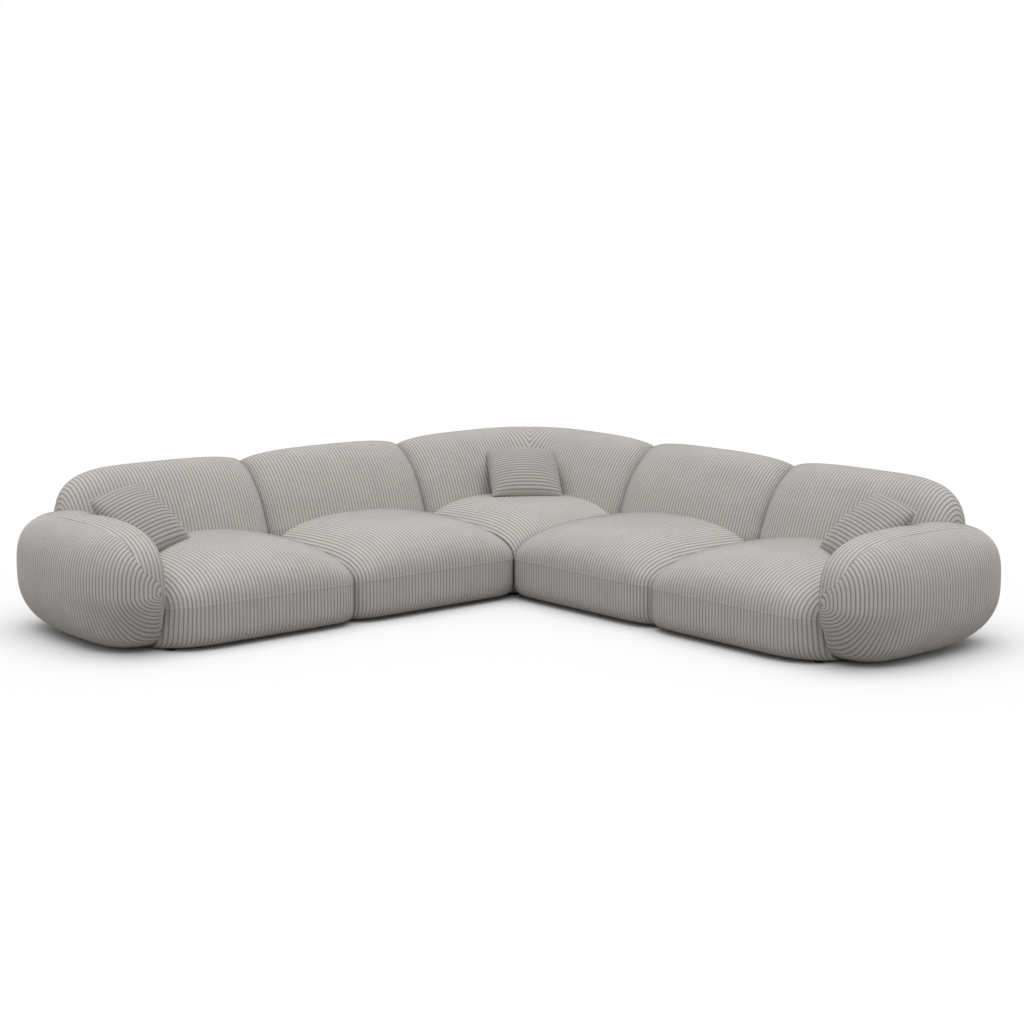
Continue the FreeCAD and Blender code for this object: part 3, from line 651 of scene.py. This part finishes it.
def corner_back():
    """Cover of the corner's back pad."""
    base, phase, along = corner_back_half()
    closed = corner_bend - along <= (corner_bend - full_curve[front_most, 0]) * math.sqrt(0.5)
    cover = raise_wales(base, np.broadcast_to(phase, base.shape[:2]), 1.0)
    cover[..., 0] = np.minimum(cover[..., 0], along[-1])
    cover[:, -1, 0] = along[-1]
    joined = (cover[0] + cover[-1]) / 2
    for row in (0, -1):
        cover[row] = np.where(closed[:, None], joined, join_at_mitre(cover[row]))
    cover[:, 0] = join_at_mitre(cover[:, 0])
    rows = np.linspace(0, back_ring_length, len(base))[:, None]
    piece = Cover()
    index = piece.panel(cover, phase, rows)
    piece.face(index[::-1, -1])
    mirrored = piece.panel(cover[..., [1, 0, 2]], phase, rows, flip=True)
    piece.face(mirrored[:, -1])
    return piece.finish("corner_back_cover", "left", "corner", ["corner_back_pad"], cover_cloth, 0.9,
                        weld=0.00002)


corner_back()

# Arms: slab bolsters, round at every edge but flat inside. The outer panel's wales stand upright and go
# round the foot; a strip over the top and both ends has its wales along it and narrows to nothing above
# the seat's band. The two meet in a slightly sunk seam. Low at the front the arm draws back to the seat.
arm_middle = 3.140
arm_inner = 3.086
arm_inner_span = arm_middle - arm_inner
arm_outer_span = 0.2608
arm_inner_bulge = 1.54
arm_centre_depth = 0.545
arm_front_reach = 0.543
arm_rear_reach = 0.582
arm_widest = 0.285
arm_up = 0.294
arm_down = 0.279
arm_tuck = 0.84
arm_plan_power = 2.6
arm_top_power = 3.2
arm_front_foot_power = 5.0
arm_rear_foot_power = 2.6
arm_foot_power = 2.3
inner_foot_power = 6.0
seam_sink = 0.0012
pile_free_width = 0.003
narrow_panel = 0.12
strip_line = np.array([
    (-14.0, -1.0), (-9.4, -0.30), (5.4, -0.135), (12.1, 0.020), (19.9, 0.250), (28.6, 0.345), (36.3, 0.374),
    (45.5, 0.402), (54.0, 0.427), (90.0, 0.440)])
seam_rows = np.array([0.0, 0.002, 0.004, 0.007, 0.012])


def arm_scales(share):
    """Size of the upper and of the lower outline at a share from -1, inside, to 1, outside."""
    inside = -share / arm_inner_bulge
    outside = shrink(share, arm_plan_power)
    return (np.where(share < 0, shrink(inside, arm_plan_power), outside),
            np.where(share < 0, shrink(inside, inner_foot_power), outside))


def low_front(share, drop):
    """Front reach of the arm below its widest height: lower down it draws back towards the seat's corner."""
    scale = arm_scales(share)[0]
    across = np.where(share < 0, arm_inner_span, arm_outer_span) * share + arm_inner_span
    foot = arm_tuck * shrink(across / (arm_inner_span + arm_outer_span), arm_foot_power)
    step = np.clip(drop / 0.8, 0, 1)
    return scale + (foot - scale) * step * step * (3 - 2 * step)


def arm_point(share, degrees):
    """Point of the arm's surface at a share across it and an angle round it."""
    angle = np.radians(degrees)
    scale, low_scale = arm_scales(share)
    upper = np.sin(angle) >= 0
    front = np.cos(angle) > 0
    power = np.where(upper, arm_top_power, np.where(front, arm_front_foot_power, arm_rear_foot_power))
    reach = (np.abs(np.cos(angle)) ** power + np.abs(np.sin(angle)) ** power) ** (-1 / power)
    x = arm_middle + share * np.where(share < 0, arm_inner_span, arm_outer_span)
    length = np.where(upper | ~front, scale, low_front(share, -reach * np.sin(angle)))
    y = (arm_centre_depth + np.where(front, arm_front_reach, arm_rear_reach) * length * reach * np.cos(angle))
    rise = np.where(upper, arm_up * scale, arm_down * low_scale)
    z = arm_widest + rise * reach * np.sin(angle)
    return np.stack(np.broadcast_arrays(x, y, z), axis=-1)


def strip_edge(degrees):
    """Share across the arm where the strip ends, at an angle round it."""
    return np.interp(np.where(degrees > 90, 180 - degrees, degrees), strip_line[:, 0], strip_line[:, 1])


def arm_loop(depth):
    """Outline of the arm cut across at a depth: from inside over the top, outside and below; with angles."""
    front = depth >= arm_centre_depth
    cut = abs(depth - arm_centre_depth) / (arm_front_reach if front else arm_rear_reach)
    outer = shrink(cut, arm_plan_power)
    inner = min(outer * arm_inner_bulge, 1.0)
    sweep = (1 - np.cos(np.linspace(0, math.pi, 500))) / 2
    share = -inner + (outer + inner) * sweep
    scale, low_scale = arm_scales(share)
    ratio = np.minimum(cut / np.maximum(scale, 1e-9), 1)
    top = (1 - ratio ** arm_top_power) ** (1 / arm_top_power)
    power = arm_front_foot_power if front else arm_rear_foot_power
    low, high = np.zeros_like(share), np.ones_like(share)
    for _ in range(40):
        middle = (low + high) / 2
        length = low_front(share, middle) if front else scale
        inside = length * (1 - middle ** power) ** (1 / power) > cut
        low, high = np.where(inside, middle, low), np.where(inside, high, middle)
    low = np.where(ratio >= 1 - 1e-12, 0, low)
    x = arm_middle + share * np.where(share < 0, arm_inner_span, arm_outer_span)
    over = np.stack([x, arm_widest + arm_up * scale * top, share, ratio, top], axis=-1)
    under = np.stack([x, arm_widest - arm_down * low_scale * low, share,
                      (1 - low ** power) ** (1 / power), -low], axis=-1)[::-1]
    loop = np.concatenate([over, under[1:]])
    sign = 1.0 if front else -1.0
    angle = np.degrees(np.arctan2(loop[:, 4], loop[:, 3] * sign))
    angle = np.where(angle < -90, angle + 360, angle)
    return loop[:, :2], loop[:, 2], angle


def spaced(length, first_rows, last_rows, inner_count):
    """Places along a curve: given ones near its ends and even ones between them."""
    reach = min(1.0, length / narrow_panel)
    begin = first_rows * reach
    stop = length - last_rows[::-1] * reach
    between = np.linspace(begin[-1], stop[0], inner_count + 2)[1:-1]
    return np.concatenate([begin, between, stop])


def outer_panel_columns():
    """Depths of the outer panel's columns and their wale numbers, even along the arm's widest line."""
    turn = np.sin(np.linspace(math.pi / 2 - 0.004, -math.pi / 2 + 0.004, 6001))
    fine = arm_centre_depth + turn * np.where(turn > 0, arm_front_reach, arm_rear_reach)
    x = arm_outer_span * shrink(turn, arm_plan_power)
    length = np.concatenate([[0], np.cumsum(np.hypot(np.diff(fine), np.diff(x)))])
    return wale_columns(length, fine)


def unite_loop(loop, share, angle, beyond):
    """Starts a closed loop at its point nearest to the strip."""
    if share[0] <= -1 + 1e-12:
        return loop, angle, beyond, False
    start = int(np.argmin(beyond[:-1]))
    order = np.concatenate([np.arange(start, len(share) - 1), np.arange(0, start + 1)])
    return loop[order], angle[order], beyond[order], True


def arm_outer_panel():
    """Outer panel of an arm: columns cut across the arm, rows from the seam over outside and foot.

    Also its wale numbers, its edge at the strip, and which columns close on themselves or end at the foot."""
    depths, phase = outer_panel_columns()
    grid, edge, closed, foot = [], [], [], []
    for number, depth in enumerate(depths):
        loop, share, angle = arm_loop(depth)
        beyond = share - strip_edge(angle)
        loop, angle, beyond, is_loop = unite_loop(loop, share, angle, beyond)
        steps = np.concatenate([[0], np.cumsum(np.linalg.norm(np.diff(loop, axis=0), axis=1))])
        equator = int(np.argmax(loop[:, 0]))
        above = np.nonzero(beyond[:equator] < 0)[0]
        below = np.nonzero(beyond[equator:] < 0)[0]
        begin, stop = 0.0, steps[-1]
        if len(above):
            k = above[-1]
            part = beyond[k] / (beyond[k] - beyond[k + 1])
            begin = steps[k] + part * (steps[k + 1] - steps[k])
            edge.append((angle[k] + part * (angle[k + 1] - angle[k]), number, 0))
        if len(below):
            k = equator + below[0]
            part = beyond[k - 1] / (beyond[k - 1] - beyond[k])
            stop = steps[k - 1] + part * (steps[k] - steps[k - 1])
            edge.append((angle[k - 1] + part * (angle[k] - angle[k - 1]), number, -1))
        elif not is_loop:
            foot.append(number)
        if is_loop and not len(above):
            closed.append((angle[0], number))
        wanted = begin + spaced(stop - begin, seam_rows, seam_rows, 34)
        line = np.stack([np.interp(wanted, steps, loop[:, k]) for k in (0, 1)], axis=-1)
        grid.append(np.stack([line[:, 0], np.full(len(line), depth), line[:, 1]], axis=-1))
    return np.stack(grid, axis=1), phase, edge, closed, foot


def arm_strip():
    """Strip over the top and the ends of an arm: columns along it, rows between its two narrow tips."""
    fine = np.linspace(-1.0, 0.439, 2001)
    crest = arm_point(fine, 90.0)
    length = np.concatenate([[0], np.cumsum(np.linalg.norm(np.diff(crest, axis=0), axis=1))])
    share, phase = wale_columns(length, fine)
    first = np.interp(share, strip_line[:, 1], strip_line[:, 0])
    even = np.linspace(0, 1, 1201)
    grid = []
    angles = []
    for s, start in zip(share, first):
        turn = start + (180 - 2 * start) * even
        line = arm_point(s, turn)
        steps = np.concatenate([[0], np.cumsum(np.linalg.norm(np.diff(line, axis=0), axis=1))])
        wanted = spaced(steps[-1], seam_rows, seam_rows, 66)
        grid.append(np.stack([np.interp(wanted, steps, line[:, k]) for k in range(3)], axis=-1))
        angles.append(np.interp(wanted, steps, turn))
    return np.stack(grid, axis=1), phase, np.stack(angles, axis=1)


def nearest(points, line):
    """Distance of each point to the nearest point of a line."""
    best = np.full(points.shape[:-1], np.inf)
    for spot in line:
        best = np.minimum(best, ((points - spot) ** 2).sum(-1))
    return np.sqrt(best)


def sink_seam(points, phase, line):
    """Raises a panel's wales and sinks it along its seam line."""
    away = nearest(points, line)
    share = 1 - np.exp(-(away / pile_free_width) ** 2)
    lift = (wale_crown(phase) - 0.5) * wale_height * share
    lift = lift - seam_sink * np.exp(-(away / seam_half_width) ** 2)
    return points - grid_normals(points, False) * lift[..., None]


def zip_edges(piece, first, second):
    """Closes the slit between two edges whose points are sorted along it."""
    i = j = 0
    while i < len(first) - 1 or j < len(second) - 1:
        step_first = j == len(second) - 1 or (i < len(first) - 1 and first[i + 1][0] <= second[j + 1][0])
        if step_first:
            piece.face([first[i][1], first[i + 1][1], second[j][1]])
            i += 1
        else:
            piece.face([first[i][1], second[j + 1][1], second[j][1]])
            j += 1


def arm_cover(side):
    """Cover of one arm: outer panel, strip, the slit between them and the flat inner face."""
    seam = arm_point(strip_edge(np.linspace(-14, 194, 700)), np.linspace(-14, 194, 700))
    panel, phase, edge, closed, foot = arm_outer_panel()
    strip, strip_phase, angles = arm_strip()
    outer = sink_seam(panel, np.broadcast_to(phase, panel.shape[:2]), seam)
    over = sink_seam(strip, np.broadcast_to(strip_phase, strip.shape[:2]), seam)
    for _, number in closed:
        outer[0, number] = outer[-1, number] = (outer[0, number] + outer[-1, number]) / 2
    outer[..., 0] = np.maximum(outer[..., 0], arm_inner)
    outer[-1, foot, 0] = arm_inner
    over[..., 0] = np.maximum(over[..., 0], arm_inner)
    over[:, 0, 0] = arm_inner
    piece = Cover()
    index = piece.panel(outer, phase, np.linspace(0, 0.9, len(outer))[:, None])
    top = piece.panel(over, strip_phase, np.linspace(0, 1.4, len(over))[:, None])
    outer_edge = [(angle, index[row, number]) for angle, number, row in edge]
    half = len(phase) // 2
    front_last = max((c for c in closed if c[1] < half), key=lambda c: c[1])
    rear_first = min((c for c in closed if c[1] > half), key=lambda c: c[1])
    outer_edge += [(angle, index[0, number]) for angle, number in (front_last, rear_first)]
    outer_edge.sort(key=lambda e: e[0])
    outer_edge = [(-20.0, index[-1, foot[0]])] + outer_edge + [(200.0, index[-1, foot[-1]])]
    strip_edge_points = ([(angles[0, c], top[0, c]) for c in range(top.shape[1])]
                         + [(angles[r, -1], top[r, -1]) for r in range(1, top.shape[0] - 1)]
                         + [(angles[-1, c], top[-1, c]) for c in range(top.shape[1] - 1, -1, -1)])
    zip_edges(piece, strip_edge_points, outer_edge)
    rim = np.concatenate([over[:, 0], outer[-1, foot[::-1]]])[None]
    inner_face = piece.panel(rim, rim[..., 1] / wale_pitch, rim[..., 2])
    piece.face(inner_face[0])
    piece.face(index[:-1, 0])
    piece.face(index[:-1, -1])
    return piece.finish(f"{side}_arm_cover", side, f"{side}_end", [f"{side}_arm_pad"], cover_cloth, 0.95,
                        weld=0.00001)


for side in ("left", "right"):
    arm_cover(side)

# Throw pillows: two square panels of the same corduroy, sewn edge to edge and stuffed with fibre. Their copy
# of the corduroy is painted darker than the cover's, as painted shade. The filling pulls the edges in between
# the corners;
# the wales run across, parallel to the top edge.
pillow_side = 0.400
pillow_cells = 26
pillow_half_depth = 0.078
stuffed_share = 0.955
corner_ears = 0.03
pillow_wales = 20
pillow_columns = 33
pillow_seam_width = 0.006


def cloth_settle(name, points, faces, pressure, frames):
    """Lets a sewn cover settle under its filling's pressure; returns its points."""
    mesh = bpy.data.meshes.new(name)
    mesh.from_pydata(points.tolist(), [], faces)
    sheet = bpy.data.objects.new(name, mesh)
    bpy.context.scene.collection.objects.link(sheet)
    cloth = sheet.modifiers.new("cover", "CLOTH")
    settings = cloth.settings
    settings.quality = 6
    settings.mass = 0.25
    settings.tension_stiffness = 25
    settings.compression_stiffness = 25
    settings.shear_stiffness = 12
    settings.bending_stiffness = 0.6
    settings.air_damping = 4
    settings.use_pressure = True
    settings.uniform_pressure_force = pressure
    settings.effector_weights.gravity = 0.0
    cloth.point_cache.frame_start = 1
    cloth.point_cache.frame_end = frames
    scene = bpy.context.scene
    for number in range(1, frames + 1):
        scene.frame_set(number)
    shown = sheet.evaluated_get(bpy.context.evaluated_depsgraph_get())
    settled = np.empty(len(points) * 3)
    shown.data.vertices.foreach_get("co", settled)
    scene.frame_set(1)
    bpy.data.objects.remove(sheet)
    bpy.data.meshes.remove(mesh)
    return settled.reshape(-1, 3)


def cubic_steps(values, places):
    """Smooth values between the evenly spaced rows of an array, at places counted in rows."""
    padded = np.concatenate([2 * values[:1] - values[1:2], values, 2 * values[-1:] - values[-2:-1]])
    cell = np.clip(np.floor(places).astype(int), 0, len(values) - 2)
    t = (places - cell).reshape((-1,) + (1,) * (values.ndim - 1))
    a, b, c, d = padded[cell], padded[cell + 1], padded[cell + 2], padded[cell + 3]
    return b + 0.5 * t * (c - a + t * (2 * a - 5 * b + 4 * c - d + t * (3 * (b - c) + d - a)))


def grid_quads(grid):
    """Four-cornered faces between the numbers of a grid."""
    return np.stack([grid[:-1, :-1], grid[:-1, 1:], grid[1:, 1:], grid[1:, :-1]], axis=-1).reshape(-1, 4)


def stuffed_pillow():
    """Front and back panels of the stuffed pillow as grids: rows down it, columns along its wales."""
    n = pillow_cells + 1
    side_places = np.linspace(-1, 1, n)
    u, v = np.meshgrid(side_places, side_places)
    half = pillow_side / 2
    inner = (1 - u ** 2) * (1 - v ** 2)
    front = np.stack([stuffed_share * half * u * (1 + corner_ears * (1 - v ** 2) * u ** 2),
                      stuffed_share * half * v * (1 + corner_ears * (1 - u ** 2) * v ** 2),
                      pillow_half_depth * inner ** 0.5], axis=-1)
    index = np.arange(n * n).reshape(n, n)
    rim = (np.abs(u) > 0.999) | (np.abs(v) > 0.999)
    behind = np.full((n, n), -1)
    behind[rim] = index[rim]
    behind[~rim] = n * n + np.arange((~rim).sum())
    points = np.concatenate([front.reshape(-1, 3), (front * (1, 1, -1))[~rim]])
    faces = grid_quads(index).tolist() + grid_quads(behind)[:, ::-1].tolist()
    settled = cloth_settle("pillow_shell", points, faces, 1.5, 24)
    settled = settled - settled[index[rim]].mean(axis=0)
    return settled[index], settled[behind]


def pillow(name, side, body, place, turn, lean, roll, panels):
    """One throw pillow, leaning at its place."""
    rows = np.linspace(0, pillow_cells, pillow_wales * samples_per_wale + 1)
    phase = np.linspace(0, pillow_wales, len(rows))[:, None]
    columns = np.linspace(0, pillow_cells, pillow_columns)
    turned = (Matrix.Rotation(math.radians(turn), 3, "Z") @ Matrix.Rotation(math.radians(lean - 90), 3, "X")
              @ Matrix.Rotation(math.radians(roll), 3, "Z"))
    turned = np.array(turned)
    piece = Cover()
    for number, panel in enumerate(panels):
        base = cubic_steps(cubic_steps(panel, rows).transpose(1, 0, 2), columns).transpose(1, 0, 2)
        away = np.minimum(np.minimum(rows, pillow_cells - rows)[:, None],
                          np.minimum(columns, pillow_cells - columns)[None, :]) / pillow_cells * pillow_side
        share = 1 - np.exp(-(away / pillow_seam_width) ** 2)
        outward = grid_normals(base, False) * (-1 if number == 0 else 1)
        if outward[len(rows) // 2, pillow_columns // 2, 2] * (1 if number == 0 else -1) < 0:
            outward = -outward
        lift = (wale_crown(phase) - 0.5) * wale_height * share
        points = base + outward * lift[..., None]
        points = points @ turned.T + np.array(place)
        piece.panel(points, phase, np.linspace(0, pillow_side, len(columns))[None, :], flip=number == 1)
    return piece.finish(name, side, body, [name.replace("_cover", "")], shaded_pillow_cloth, 0.75,
                        slot="pillow_corduroy", weld=0.00002)


# The pillows' corduroy is painted darker than the cover's, on wales and grooves both, as painted shade.
shaded_pillow_cloth = corduroy("pillow_corduroy", "b6b1ad", "7d7874")
pillow_panels = stuffed_pillow()
for side in ("left", "right"):
    pillow(f"{side}_throw_pillow_cover", side, f"{side}_pillow", (arm_start - 0.184, 0.525, 0.5330),
           18.4, 49.2, 7.3, pillow_panels)
pillow("corner_throw_pillow_cover", "left", "corner_pillow", (0.519, 0.504, 0.5320), -30.2, 57.5, -2.6,
       pillow_panels)

# Hidden structure: planed pine rails and blocks, birch plywood, black elastic webbing, zinc-plated
# hooks and screws, black glides and dust cloth. It shows only when a module is lifted or seen from below.


def plain_coat(name, colours, scale, stretch, roughness, metallic, bump_depth):
    """Simple finish: two colours mixed by a stretched noise, with a fine bump."""
    material, tree, output = new_material(name)
    place = add_node(tree, "ShaderNodeTexCoord")
    spread = add_node(tree, "ShaderNodeMapping", {"Vector": place.outputs["Object"], "Scale": stretch})
    grain = add_node(tree, "ShaderNodeTexNoise", {"Vector": spread.outputs[0], "Scale": scale, "Detail": 4.0})
    level = add_node(tree, "ShaderNodeMapRange", {0: grain.outputs[0], 1: 0.3, 2: 0.7})
    shade = add_node(tree, "ShaderNodeMix", {0: level.outputs[0], 6: linear(colours[0]),
                                             7: linear(colours[1])}, data_type="RGBA")
    bump = add_node(tree, "ShaderNodeBump", {"Height": grain.outputs[0], "Strength": 0.3,
                                             "Distance": bump_depth})
    coat = add_node(tree, "ShaderNodeBsdfPrincipled", {"Base Color": shade.outputs[2], "Roughness": roughness,
                                                       "Metallic": metallic, "Normal": bump.outputs[0]})
    tree.links.new(coat.outputs[0], output.inputs["Surface"])
    return material


finishes = {
    "seat_frame": plain_coat("planed_pine", ("d9b98a", "c39c66"), 30.0, (1, 1, 8), 0.6, 0.0, 0.0003),
    "back_frame": plain_coat("birch_plywood", ("d8bd92", "c5a373"), 40.0, (1, 1, 10), 0.6, 0.0, 0.0003),
    "webbing": plain_coat("elastic_webbing", ("1e1e1f", "2c2c2d"), 600.0, (1, 1, 1), 0.85, 0.0, 0.0004),
    "glides": plain_coat("black_moulded_plastic", ("141414", "1c1c1c"), 900.0, (1, 1, 1), 0.45, 0.0, 0.0001),
    "dust_cover": plain_coat("black_spunbond_cloth", ("161617", "232324"), 500.0, (1, 1, 1), 0.95, 0.0,
                             0.0003),
    "connector": plain_coat("zinc_plated_steel", ("a9aeb2", "bfc3c6"), 120.0, (1, 1, 1), 0.35, 1.0, 0.0001),
}
finishes["arm_frame"] = finishes["seat_frame"]
seat_corner_cut = ((2.985, 1.000, 0.0), (0.80, 0.60, 0.0))
arm_corner_cut = ((3.115, 0.880, 0.100), (0.0, 0.86, -0.50))


def cut_corner(side, node_name, point, normal):
    """A copy of an end module's inner piece without its corner beyond a plane, where the cover tucks in."""
    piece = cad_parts[node_name].copy()
    piece.data = piece.data.copy()
    piece.name = node_name + "_cut"
    bpy.context.scene.collection.objects.link(piece)
    solid = bmesh.new()
    solid.from_mesh(piece.data)
    at = to_world(side, np.array(point))
    away = to_world(side, np.array(point) + np.array(normal)) - at
    cut = bmesh.ops.bisect_plane(solid, geom=solid.verts[:] + solid.edges[:] + solid.faces[:], dist=0.00001,
                                 plane_co=Vector(at), plane_no=Vector(away), clear_outer=True)
    edges = [e for e in cut["geom_cut"] if isinstance(e, bmesh.types.BMEdge)]
    bmesh.ops.holes_fill(solid, edges=edges, sides=0)
    solid.to_mesh(piece.data)
    solid.free()
    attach(piece, f"{side}_end")
    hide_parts(node_name)


for node_name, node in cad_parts.items():
    for ending, finish in finishes.items():
        if ending in node_name:
            node.data.materials.clear()
            node.data.materials.append(finish)
for side in ("left", "right"):
    for ending in ("seat_frame", "dust_cover"):
        cut_corner(side, f"{side}_end_{ending}", *seat_corner_cut)
    cut_corner(side, f"{side}_arm_frame", *arm_corner_cut)
